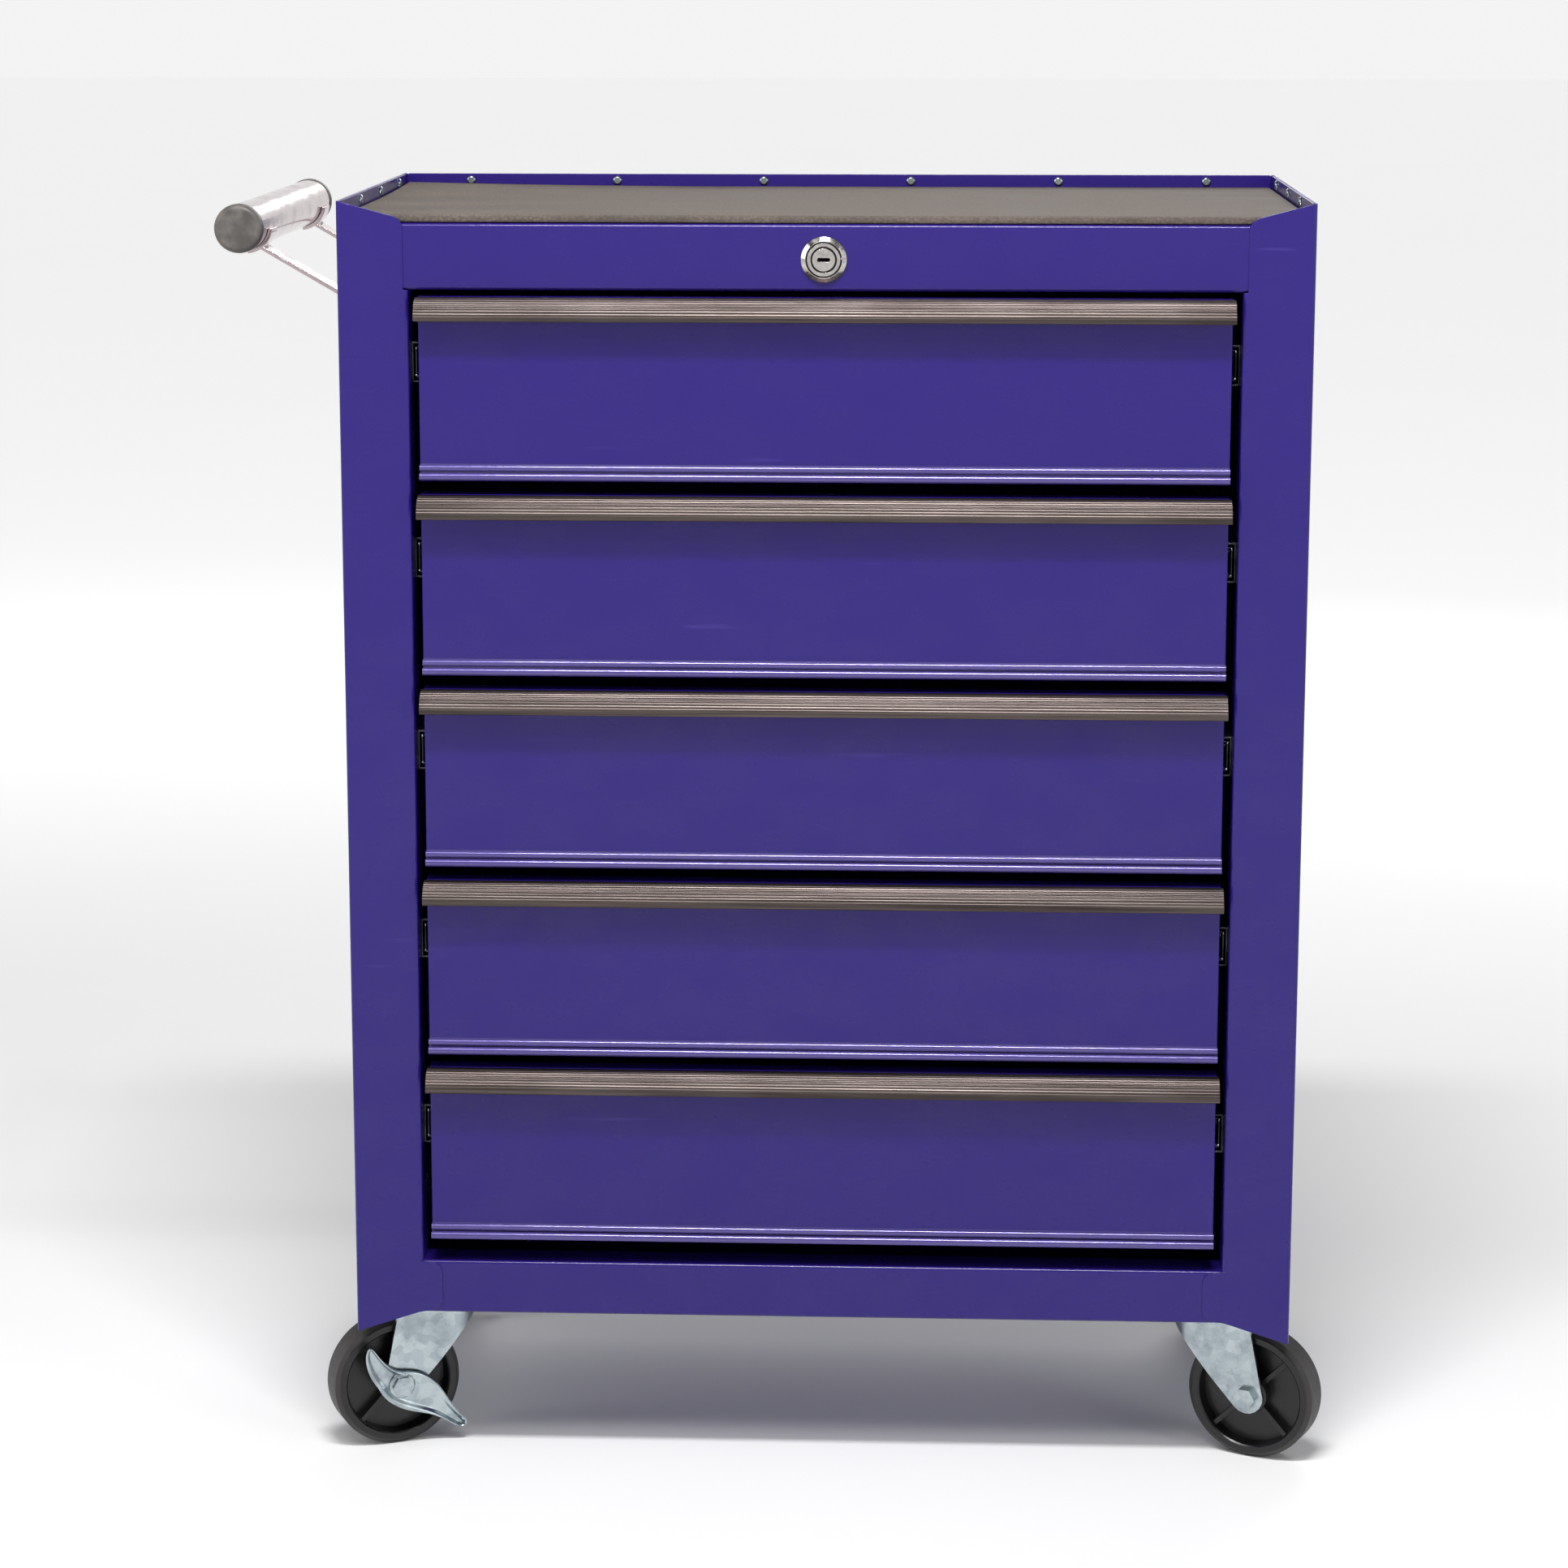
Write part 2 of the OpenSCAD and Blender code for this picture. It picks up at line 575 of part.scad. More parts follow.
placed() left_side_panel();
placed() right_side_panel();
placed() back_panel();
placed() bottom_panel();
placed() top_tray();
placed() top_rail();
placed() bottom_rail();
placed() tray_mat();
placed() rear_posts();
placed() cabinet_slides();
placed() caster_plates();
placed() cabinet_fasteners();
placed() handle_tube();
placed() handle_end_caps();
placed() handle_brackets();
placed() lock_housing();
placed() lock_guides();
placed() lock_plug();
placed() lock_rod();
placed() lock_bar();
for (n = DRAWERS) {
    placed() drawer_box(n);
    placed() drawer_front(n);
    placed() drawer_grip(n);
    placed() drawer_slides(n);
    placed() drawer_liner(n);
    placed() middle_slides(n);
}
for (c = CORNERS) {
    placed() caster_fork(c);
    placed() caster_wheel(c);
}
for (c = BRAKED) placed() caster_brake(c);
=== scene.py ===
# %% [markdown]
# # A rolling tool chest
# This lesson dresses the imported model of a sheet-steel tool chest: five drawers on ball slides, a matted
# top tray, a push handle, a key lock and four swivel casters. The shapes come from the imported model, and
# here every surface gets a finish that is worked out from noise and waves, without any picture file.

import json
import math

import bmesh
import bpy
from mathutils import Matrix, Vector


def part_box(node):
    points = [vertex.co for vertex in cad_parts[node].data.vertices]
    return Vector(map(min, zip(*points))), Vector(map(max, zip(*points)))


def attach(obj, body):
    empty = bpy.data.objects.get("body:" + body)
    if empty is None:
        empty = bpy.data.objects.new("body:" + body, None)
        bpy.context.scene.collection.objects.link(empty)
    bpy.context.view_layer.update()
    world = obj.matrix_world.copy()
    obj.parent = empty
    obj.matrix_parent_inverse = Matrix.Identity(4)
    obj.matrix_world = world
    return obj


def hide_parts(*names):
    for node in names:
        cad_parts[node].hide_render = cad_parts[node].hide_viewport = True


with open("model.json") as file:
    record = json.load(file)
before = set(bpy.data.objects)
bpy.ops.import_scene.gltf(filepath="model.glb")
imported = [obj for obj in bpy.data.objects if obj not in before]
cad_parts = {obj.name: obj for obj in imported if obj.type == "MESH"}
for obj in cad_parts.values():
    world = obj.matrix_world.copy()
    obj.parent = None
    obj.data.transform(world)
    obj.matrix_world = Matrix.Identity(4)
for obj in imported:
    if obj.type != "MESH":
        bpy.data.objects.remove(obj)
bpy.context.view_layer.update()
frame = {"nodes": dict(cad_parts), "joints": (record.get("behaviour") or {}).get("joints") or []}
nodes = frame["nodes"]

# %% [markdown]
# ## Measures taken from the model
# New pieces have to meet the model's own. Their places could be typed in as numbers, but here they come from
# the boxes of the model's nodes, so a piece stays right if the model changes.

# %% Measures
MM = 0.001
DRAWERS = range(1, 6)
mat_low, mat_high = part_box("tray_mat")
print("mat", mat_low, mat_high)

# %% [markdown]
# ## The camera
# The chest is looked at from the front and a little above, so that the drawer fronts stay almost square and
# the matted top shows as a narrow band. A short lens close by would show more of the top and make the
# uprights lean, and a long lens from nearly three metres keeps them almost upright.

# %% Camera
lens = bpy.data.cameras.new("camera")
lens.lens = 91.2
lens.shift_x, lens.shift_y = 0.014, -0.05
camera = bpy.data.objects.new("camera", lens)
camera.location = (0.1, -2.661, 0.987)
camera.rotation_euler = (math.radians(90 - 10.7), 0, math.radians(2.54))
bpy.context.scene.collection.objects.link(camera)
bpy.context.scene.camera = camera
print("camera at", tuple(camera.location))

# %% [markdown]
# ## Light and floor
# The chest stands on a pale floor under soft studio lamps. Small lamps would do, but a polished tube and a
# satin paint show the lamp's own shape as their highlight, so these are big. The plain "Standard" view keeps
# the deep blue as strong as it is on the real steel.


# %% Light and floor
def soft_lamp(name, place, target, size, power, tint=(1, 1, 1)):
    light = bpy.data.lights.new(name, "AREA")
    light.shape, light.size, light.size_y = "RECTANGLE", size[0], size[1]
    light.energy, light.color = power, tint
    lamp = bpy.data.objects.new(name, light)
    lamp.location = place
    lamp.rotation_euler = (Vector(target) - Vector(place)).to_track_quat("-Z", "Y").to_euler()
    bpy.context.scene.collection.objects.link(lamp)
    return lamp


soft_lamp("key_lamp", (-0.5, -1.9, 2.9), (0, 0, 0.5), (1.7, 0.7), 27, (1, 0.98, 0.96))
soft_lamp("strip_lamp", (0.03, -1.15, 2.6), (0.03, -0.15, 0.5), (0.9, 0.2), 54)
soft_lamp("fill_lamp", (2.3, -1.7, 1.5), (0, 0, 0.4), (0.8, 1.8), 10, (0.95, 0.97, 1))
soft_lamp("side_lamp", (-2.4, -0.8, 1.6), (0, 0, 0.5), (0.8, 1.8), 13)
soft_lamp("back_lamp", (0.6, 2.6, 1.9), (0, 0, 0.5), (2.0, 1.4), 24)
bpy.context.scene.view_settings.view_transform = "Standard"

floor_mesh = bpy.data.meshes.new("floor")
floor_mesh.from_pydata([(-30, -30, 0), (30, -30, 0), (30, 30, 0), (-30, 30, 0)], [], [(0, 1, 2, 3)])
floor = bpy.data.objects.new("floor", floor_mesh)
bpy.context.scene.collection.objects.link(floor)

# %% [markdown]
# ## Shader maths in plain Python
# A material is a graph of small nodes. Two small classes keep that readable: a `Wire` is one socket, and
# arithmetic on it adds Math nodes, while a `Finish` is one material that can add any node by its type.


# %% Wires
class Wire:
    """An output socket that takes part in Python arithmetic."""

    def __init__(self, finish, socket):
        self.finish, self.socket = finish, socket

    def math(self, operation, *values):
        return self.finish.node("ShaderNodeMath", {"operation": operation}, dict(enumerate(values)))

    def __add__(self, other):
        return self.math("ADD", self, other)

    def __sub__(self, other):
        return self.math("SUBTRACT", self, other)

    def __rsub__(self, other):
        return self.math("SUBTRACT", other, self)

    def __mul__(self, other):
        return self.math("MULTIPLY", self, other)

    def __mod__(self, other):
        return self.math("MODULO", self, other)

    def __pow__(self, other):
        return self.math("POWER", self, other)

    __radd__ = __add__
    __rmul__ = __mul__


# %% Finishes
class Finish:
    """One material, or the world, with its node tree and its shader."""

    def __init__(self, name, owner=None, shader="Principled BSDF", **constants):
        self.material = owner or bpy.data.materials.new(name)
        self.material.use_nodes = True
        self.tree = self.material.node_tree
        self.shader = self.tree.nodes[shader]
        self.feed(**constants)

    def plug(self, value, socket):
        if isinstance(value, Wire):
            self.tree.links.new(value.socket, socket)
        else:
            socket.default_value = value

    def feed(self, **inputs):
        for name, value in inputs.items():
            self.plug(value, self.shader.inputs[name.replace("_", " ")])

    def node(self, kind, settings=None, inputs=None, output=0):
        made = self.tree.nodes.new(kind)
        for name, value in (settings or {}).items():
            setattr(made, name, value)
        for name, value in (inputs or {}).items():
            self.plug(value, made.inputs[name])
        return Wire(self, made.outputs[output])

    def place(self):
        """The point on the piece, in metres."""
        return self.node("ShaderNodeTexCoord", output="Object")

    def where(self, stretch=(1, 1, 1)):
        """The same point with each axis multiplied by stretch."""
        return self.node("ShaderNodeMapping", None, {"Vector": self.place(), "Scale": stretch})

    def vector(self, operation, *values, output="Vector"):
        return self.node("ShaderNodeVectorMath", {"operation": operation}, dict(enumerate(values)), output)

    def part(self, value, axis):
        return self.node("ShaderNodeSeparateXYZ", None, {0: value}, axis)

    def noise(self, size, detail=3.0, stretch=(1, 1, 1), rough=0.5):
        """Cloudy noise from 0 to 1, with blobs of about `size` metres."""
        inputs = {"Vector": self.where(stretch), "Scale": 1 / size, "Detail": detail, "Roughness": rough}
        return self.node("ShaderNodeTexNoise", None, inputs)

    def cells(self, size, output="Distance"):
        """A pattern of cells of about `size` metres."""
        return self.node("ShaderNodeTexVoronoi", None, {"Vector": self.where(), "Scale": 1 / size}, output)

    def rise(self, value, low, high, bottom=0.0, top=1.0):
        """Goes smoothly from bottom to top while value goes from low to high."""
        inputs = {"Value": value, "From Min": low, "From Max": high, "To Min": bottom, "To Max": top}
        return self.node("ShaderNodeMapRange", {"interpolation_type": "SMOOTHSTEP"}, inputs)

    def mix(self, mask, under, over):
        """The colour `over` laid on the colour `under` where mask is 1."""
        return self.node("ShaderNodeMix", {"data_type": "RGBA"}, {0: mask, 6: under, 7: over}, 2)

    def bump(self, height, depth, strength, under=None):
        inputs = {"Height": height, "Distance": depth, "Strength": strength}
        if under is not None:
            inputs["Normal"] = under
        return self.node("ShaderNodeBump", None, inputs)


def colour(red, green, blue):
    """An 8-bit screen colour as the linear colour that a shader works in."""
    linear = [((c / 255 + 0.055) / 1.055) ** 2.4 if c > 10 else c / 255 / 12.92 for c in (red, green, blue)]
    return (*linear, 1.0)


print("violet blue is", [round(c, 3) for c in colour(60, 48, 120)])

# %% [markdown]
# ## The room
# Metal only looks like metal when it has something dark to mirror. The room is pale all round, where it is
# seen behind the chest, and it dims towards the ceiling, so that every bent and domed surface gets a shade.


# %% The room
def pale_room():
    world = bpy.data.worlds.new("pale_room")
    room = Finish("pale_room", world, "Background", Color=(1, 1, 1, 1))
    direction = room.node("ShaderNodeTexCoord", output="Generated")
    height = room.part(direction, "Z")
    room.feed(Strength=room.rise(height, 0.15, 0.5, 0.9, 0.16))
    bpy.context.scene.world = world
    return world


print("made", pale_room().name)

# %% [markdown]
# ## The blue powder coat
# Powder is blown onto the steel and baked, and it flows into a skin with a faint orange-peel. The colour is
# even, so it is the gloss that has to vary: soft handling marks, a little dust and a few hairline scuffs.
# The two beads rolled along the foot of every drawer get a painted highlight, so the same finish is made a
# second time with a lighter, partly metallic and glossier band that repeats at the drawers' own spacing and
# stands in for the lamp's highlight on the beads.


# %% Blue powder coat
def blue_powder_coat(name, bead_foot=None, pitch=None):
    """With bead_foot and pitch, the two beads that repeat at every drawer's foot get a painted highlight: a
    lighter, partly metallic band.
    """
    paint = Finish(name, Coat_Roughness=0.1, Specular_IOR_Level=0.18)
    cloud = paint.noise(0.16, 4)
    handling = paint.noise(0.05, 5, (1, 1, 1.7), 0.6)
    scuffs = paint.rise(paint.noise(0.012, 2, (0.12, 1, 1.6)), 0.68, 0.76)
    scuffs = scuffs * paint.rise(paint.noise(0.09, 1), 0.5, 0.62)
    body = paint.mix(cloud, colour(35, 20, 104), colour(38, 22, 109))
    body = paint.mix(paint.rise(handling, 0.35, 0.75, 0, 0.14), body, colour(41, 27, 112))
    body = paint.mix(scuffs * 0.3, body, colour(70, 58, 140))
    roughness = paint.rise(handling, 0.25, 0.8, 0.24, 0.34) + scuffs * 0.15
    gloss = paint.rise(handling, 0.2, 0.8, 0.4, 0.25)
    if pitch:
        foot = (paint.part(paint.where(), "Z") - bead_foot) % pitch
        # painted highlight: the two beads at each drawer's foot get a lighter, partly metallic colour in place
        # of the lamp's highlight on them
        bead_highlight = paint.rise(foot, 0.4 * MM, 1.0 * MM) * paint.rise(foot, 10.4 * MM, 11.0 * MM, 1, 0)
        body = paint.mix(bead_highlight * 0.3, body, colour(120, 108, 170))
        paint.feed(Metallic=bead_highlight * 0.26)
        roughness = roughness - bead_highlight * 0.08
        gloss = gloss + bead_highlight * 0.6
    paint.feed(Base_Color=body, Roughness=roughness, Coat_Weight=gloss)
    broad = paint.bump(paint.noise(0.16, 1), 0.001, 0.12)
    paint.feed(Normal=paint.bump(paint.noise(0.0016, 2), 0.00002, 0.3, broad))
    return paint.material


blue_paint = blue_powder_coat("blue_powder_coat")
foot_of_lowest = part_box("drawer_5_front")[0].z
drawer_pitch = (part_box("drawer_1_front")[0].z - foot_of_lowest) / 4
front_paint = blue_powder_coat("drawer_front_coat", foot_of_lowest, drawer_pitch)
print("made", blue_paint.name, front_paint.name, "drawers every", round(drawer_pitch, 4))

# %% [markdown]
# ## Zinc plate
# Casters, bolts and the lock bar are zinc plated: a cool, mottled metal. A pattern could be unwrapped onto
# it, but noise needs no unwrapping. Cells give the flat flecks that catch the light each in their own way,
# and soft noise gives the duller stains between them.


# %% Zinc plate
def zinc_plate():
    zinc = Finish("zinc_plate", Metallic=1.0)
    fleck = zinc.node("ShaderNodeSeparateColor", None, {0: zinc.cells(0.006, "Color")})
    stain = zinc.noise(0.03, 5, rough=0.65)
    body = zinc.mix(fleck * 0.5, colour(166, 178, 182), colour(210, 219, 221))
    zinc.feed(Base_Color=zinc.mix(zinc.rise(stain, 0.42, 0.68, 0, 0.6), body, colour(122, 132, 140)))
    zinc.feed(Roughness=zinc.rise(stain, 0.3, 0.75, 0.14, 0.3) + fleck * 0.03)
    zinc.feed(Normal=zinc.bump(zinc.noise(0.0012, 2, (1, 1, 0.25)), 0.00003, 0.5))
    return zinc.material


zinc = zinc_plate()
print("made", zinc.name)


# %% [markdown]
# ## Dark slides
# The slide members are steel too, covered in a film of grease that gathers dust. One metal finish could serve
# for both, but then the gaps beside the drawers would glitter, so the slides get their own: near black, a
# painted shade that stands in for the shadow in those gaps, with patches of grease that are glossier along the
# way the drawer travels.


# %% Dark slides with painted shade
def shade_dark_slide_steel():
    dark = Finish("shade_dark_slide_steel", Metallic=1.0)
    grease = dark.noise(0.018, 5, (1, 0.3, 1), 0.6)
    # painted shade: the near-black base stands in for the shadow in the gaps beside the drawers; the lighter
    # patches are grease and dust
    dark.feed(Base_Color=dark.mix(dark.rise(grease, 0.35, 0.7), colour(38, 37, 42), colour(84, 84, 90)))
    dark.feed(Roughness=dark.rise(grease, 0.3, 0.7, 0.22, 0.42))
    dark.feed(Normal=dark.bump(dark.noise(0.0015, 2, (1, 0.1, 1)), 0.00003, 0.5))
    return dark.material


slide_steel = shade_dark_slide_steel()
print("made", slide_steel.name)

# %% [markdown]
# ## Chrome
# The push handle is a chromed tube. Polished plate is almost a mirror, and a plain mirror looks like a
# drawing of metal. What makes it real is the faint haze of fingerprints and the slow waves of a drawn tube,
# which break up the reflection of the lamps, so both are added to the gloss and the bump.


# %% Chrome
def polished_chrome():
    chrome = Finish("handle_chrome", Metallic=1.0)
    prints = chrome.noise(0.022, 5, rough=0.65)
    wipes = chrome.noise(0.006, 3, (1, 0.15, 1))
    hazy = chrome.rise(prints, 0.4, 0.75, 0, 0.6)
    chrome.feed(Base_Color=chrome.mix(hazy, colour(192, 177, 179), colour(164, 153, 155)))
    chrome.feed(Roughness=chrome.rise(prints, 0.35, 0.75, 0.08, 0.2) + wipes * 0.03)
    chrome.feed(Normal=chrome.bump(chrome.noise(0.05, 1), 0.0006, 0.2))
    return chrome.material


handle_chrome = polished_chrome()
print("made", handle_chrome.name)

# %% [markdown]
# ## The lock's turned face
# The lock is turned brass under nickel. The grooves between its rings get painted shade: they are darkened in
# the colour where shade falls into them. They could be cut into a new mesh, but each of the grooves is only a
# narrow band of distance from the lock's own axis, which the shader can measure. The key slot gets painted
# shade in the same way: no light reaches into it.


# %% Lock face
def lock_face():
    low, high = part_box("lock_housing")
    axis_point = ((low.x + high.x) / 2, 0, (low.z + high.z) / 2)
    face = Finish("lock_nickel", Metallic=1.0)
    flat = face.vector("MULTIPLY", face.vector("SUBTRACT", face.place(), axis_point), (1, 0, 1))
    reach = face.vector("LENGTH", flat, output="Value")
    # painted shade: the two dark rings below stand in for the shade in the hollows of the lock face
    groove_shade = face.rise(reach, 7.0 * MM, 7.5 * MM) * face.rise(reach, 8.0 * MM, 8.5 * MM, 1, 0)
    step = face.rise(reach, 10.2 * MM, 10.7 * MM) * face.rise(reach, 11.2 * MM, 11.8 * MM, 1, 0)
    away = face.vector("ABSOLUTE", flat)
    # painted shade: the key slot is darkened because no light reaches into it
    key_slot_shade = face.rise(face.part(away, "X"), 3.4 * MM, 4.0 * MM, 1, 0)
    key_slot_shade = key_slot_shade * face.rise(face.part(away, "Z"), 1.0 * MM, 1.5 * MM, 1, 0)
    dark = face.rise(groove_shade + step + key_slot_shade, 0, 1)
    swirl = face.noise(0.003, 4, (1, 0.2, 1), 0.6)
    body = face.mix(swirl, colour(150, 146, 143), colour(226, 222, 218))
    face.feed(Base_Color=face.mix(dark, body, colour(34, 30, 34)))
    face.feed(Roughness=face.rise(swirl, 0.3, 0.7, 0.1, 0.24) + dark * 0.3)
    face.feed(Normal=face.bump(1 - dark, 0.0004, 0.8))
    return face.material


lock_nickel = lock_face()
print("made", lock_nickel.name)

# %% [markdown]
# ## Anodised grips
# The full-width grips are one long aluminium extrusion each. The die leaves fine lines along the whole
# length, so the noise is stretched a hundredfold along the drawer, and the anodising makes it dark.


# %% Anodised grips
def anodised_grip():
    grip = Finish("anodised_grip", Metallic=1.0)
    die_lines = grip.noise(0.0011, 2, (0.0015, 1, 1), 0.6)
    streaks = grip.noise(0.0032, 4, (0.02, 1, 1), 0.6)
    rubbed = grip.noise(0.07, 4, (0.6, 1, 1))
    body = grip.mix(grip.rise(streaks, 0.3, 0.7), colour(66, 59, 57), colour(98, 89, 86))
    grip.feed(Base_Color=grip.mix(grip.rise(rubbed, 0.5, 0.8, 0, 0.35), body, colour(116, 107, 104)))
    grip.feed(Roughness=grip.rise(die_lines, 0.3, 0.7, 0.3, 0.46))
    grip.feed(Normal=grip.bump(die_lines, 0.00008, 0.6))
    return grip.material


grip_metal = anodised_grip()
print("made", grip_metal.name)

# %% [markdown]
# ## Rubber mat
# The top mat is grey-brown foam rubber with a pebbled face and a worn, blotchy tone where tools have lain.
# Modelled pebbles would take a million faces. Cell noise gives the same small domes through the bump, and
# the same cells darken the seams between them.


# %% Rubber mat
def mat_rubber():
    mat = Finish("mat_rubber", Specular_IOR_Level=0.35)
    blotch = mat.noise(0.055, 6, (0.6, 1, 1), 0.62)
    streak = mat.noise(0.02, 4, (0.25, 1, 1))
    pebble = mat.cells(0.0021)
    body = mat.mix(mat.rise(blotch, 0.3, 0.68), colour(80, 72, 66), colour(104, 94, 87))
    body = mat.mix(mat.rise(streak, 0.5, 0.75, 0, 0.4), body, colour(90, 80, 72))
    mat.feed(Base_Color=mat.mix(mat.rise(pebble, 0.25, 0.7, 0, 0.35), body, colour(52, 46, 42)))
    mat.feed(Roughness=mat.rise(blotch, 0.3, 0.7, 0.66, 0.86))
    mat.feed(Normal=mat.bump(1 - pebble, 0.0005, 0.8))
    return mat.material


mat_finish = mat_rubber()
print("made", mat_finish.name)

# %% [markdown]
# ## Drawer liners
# Each drawer has a black liner with fine ribs from side to side, so that sockets don't roll. The ribs are as
# straight and even as a wave, so a wave pattern makes them, and soft noise lays dust over them.


# %% Drawer liners
def liner_rubber():
    liner = Finish("liner_rubber", Specular_IOR_Level=0.4)
    wave = {"Vector": liner.where(), "Scale": 80.0}
    ribs = liner.node("ShaderNodeTexWave", {"bands_direction": "Y"}, wave)
    dust = liner.noise(0.06, 5, rough=0.6)
    liner.feed(Base_Color=liner.mix(liner.rise(dust, 0.4, 0.75), colour(26, 26, 28), colour(58, 56, 55)))
    liner.feed(Roughness=liner.rise(dust, 0.3, 0.7, 0.55, 0.8))
    liner.feed(Normal=liner.bump(ribs, 0.0006, 0.8))
    return liner.material


liner_finish = liner_rubber()
print("made", liner_finish.name)

# %% [markdown]
# ## Moulded plastic
# The handle's end caps and the wheels are moulded. A fine grain on the caps dulls them, and the wheels keep
# a polish on their discs, while the tread has picked up grey dust from the floor. The tread is found by its
# distance from the axle, which the shader works out from the wheel's own box, so no second mesh is needed.


# %% Moulded plastic
def cap_plastic():
    cap = Finish("cap_plastic", Specular_IOR_Level=0.45)
    grain = cap.noise(0.0009, 2)
    worn = cap.noise(0.012, 4)
    cap.feed(Base_Color=cap.mix(cap.rise(worn, 0.35, 0.7), colour(70, 67, 65), colour(98, 94, 90)))
    cap.feed(Roughness=cap.rise(worn, 0.3, 0.7, 0.42, 0.56))
    cap.feed(Normal=cap.bump(grain, 0.00008, 0.6))
    return cap.material


def wheel_plastic(name, centre, radius, axle):
    wheel = Finish(name, Specular_IOR_Level=0.5)
    arm = wheel.vector("SUBTRACT", wheel.place(), centre)
    along = wheel.vector("DOT_PRODUCT", arm, axle, output="Value")
    reach = wheel.vector("LENGTH", arm, output="Value")
    from_axle = (reach * reach - along * along) ** 0.5
    tread = wheel.rise(from_axle, radius - 0.0035, radius - 0.0015)
    dust = wheel.noise(0.01, 5, rough=0.65)
    body = wheel.mix(wheel.rise(dust, 0.4, 0.75, 0, 0.6), colour(12, 11, 13), colour(26, 24, 26))
    scuffed = wheel.mix(dust, colour(26, 24, 25), colour(56, 52, 51))
    wheel.feed(Base_Color=wheel.mix(tread, body, scuffed))
    wheel.feed(Roughness=wheel.rise(dust, 0.3, 0.7, 0.26, 0.4) + tread * 0.2)
    wheel.feed(Normal=wheel.bump(wheel.noise(0.002, 3), 0.00008, 0.5))
    return wheel.material


cap_finish = cap_plastic()
print("made", cap_finish.name)

# %% [markdown]
# ## Floor finish
# The floor is pale and nearly matt, with just enough unevenness to ground the wheels. Away from the lamps it
# would turn grey, so it gives off a little light of its own there and runs into the pale room with no edge.


# %% Floor finish
def floor_finish():
    ground = Finish("pale_floor", Specular_IOR_Level=0.3)
    tone = ground.noise(0.8, 3)
    ground.feed(Base_Color=ground.mix(tone, colour(238, 238, 238), colour(244, 244, 244)))
    ground.feed(Roughness=ground.rise(tone, 0, 1, 0.5, 0.62))
    away = ground.vector("LENGTH", ground.place(), output="Value")
    glow = ground.mix(ground.rise(away, 0.7, 3.4), (0, 0, 0, 1), (0.62, 0.62, 0.62, 1))
    ground.feed(Emission_Color=glow, Emission_Strength=1.0)
    return ground.material


floor_mesh.materials.append(floor_finish())
print("floor done")

# %% [markdown]
# ## Softened edges
# Pressed sheet and castings have no razor edges. Modifiers do this without touching the mesh: Weld joins the
# vertices, Decimate merges flat triangles into whole faces, Bevel rounds the sharp edges, and Weighted
# Normal keeps the big faces flat.


# %% Softened edges
def soften(node, width):
    piece = nodes[node]
    weld = piece.modifiers.new("join", "WELD")
    weld.merge_threshold = 0.00001
    flatten = piece.modifiers.new("whole_faces", "DECIMATE")
    flatten.decimate_type, flatten.angle_limit = "DISSOLVE", math.radians(1.0)
    round_off = piece.modifiers.new("round_edges", "BEVEL")
    round_off.width, round_off.segments = width, 2
    round_off.limit_method, round_off.angle_limit = "ANGLE", math.radians(32)
    round_off.use_clamp_overlap = True
    round_off.miter_outer = "MITER_ARC"
    shade = piece.modifiers.new("even_shading", "WEIGHTED_NORMAL")
    shade.keep_sharp = True
    for face in piece.data.polygons:
        face.use_smooth = True


# %% [markdown]
# ## A finish for each node
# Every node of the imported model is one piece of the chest, and its name says what it is. Each could be set by
# hand, but a table of names, and one of the last words of names, cover all sixty and miss none.

# %% Give each node its finish
FINISHES = {
    "tray_mat": mat_finish,
    "cabinet_slides": slide_steel,
    "caster_plates": zinc,
    "cabinet_fasteners": zinc,
    "handle_tube": handle_chrome,
    "handle_end_caps": cap_finish,
    "handle_brackets": handle_chrome,
    "lock_housing": lock_nickel,
    "lock_guides": zinc,
    "lock_plug": lock_nickel,
    "lock_rod": zinc,
    "lock_bar": zinc,
}
BY_KIND = {
    "grip": grip_metal,
    "front": front_paint,
    "slides": slide_steel,
    "liner": liner_finish,
    "fork": zinc,
    "brake": zinc,
}
WIDTHS = {"front": 0.0004, "grip": 0.0003, "box": 0.0003, "slides": 0.0003, "fork": 0.0006, "wheel": 0.0008}


def paint_node(name):
    kind = name.split("_")[-1]
    finish = FINISHES.get(name) or BY_KIND.get(kind) or blue_paint
    if name.startswith("middle"):
        finish = slide_steel
    if kind == "wheel":
        low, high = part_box(name)
        joint = next(j for j in frame["joints"] if j["child"] == name)
        finish = wheel_plastic(name + "_plastic", (low + high) / 2, (high.z - low.z) / 2, joint["axis"])
    mesh = nodes[name].data
    mesh.materials.clear()
    mesh.materials.append(finish)
    soften(name, WIDTHS.get(kind, 0.00035))
    return finish.name


painted = {name: paint_node(name) for name in sorted(nodes)}
print("finishes", sorted(set(painted.values())))

# %% [markdown]
# ## The mat as a sheet
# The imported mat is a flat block. A real one is cut from a roll, so it lies in slow waves and its rear left
# corner curls up a little. A fine grid gives the waves, Solidify gives the thickness, and Bevel rounds the
# cut edge. The block stays in the model for collision, and this sheet is shown in its place.


# %% Mat sheet
def new_piece(name, mesh, finish, body, smooth=True):
    mesh.materials.append(finish)
    for face in mesh.polygons:
        face.use_smooth = smooth
    piece = bpy.data.objects.new(name, mesh)
    bpy.context.scene.collection.objects.link(piece)
    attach(piece, body)
    return piece


def mat_height(across, back):
    """Height of the mat's face above its flat block, for places from 0 to 1 across and back."""
    wave = 0.25 * math.sin(9.0 * across + 2.0 * back) + 0.2 * math.sin(4.0 * across - 5.0 * back + 1.0)
    curl = max(0.0, 1 - math.hypot(across * 2.6, (1 - back) * 1.7)) ** 2
    edge = min(1.0, 12 * min(across, 1 - across, back * 0.6 + 0.02, 1 - back))
    return (wave * edge - 0.35 + 2.6 * curl) * MM


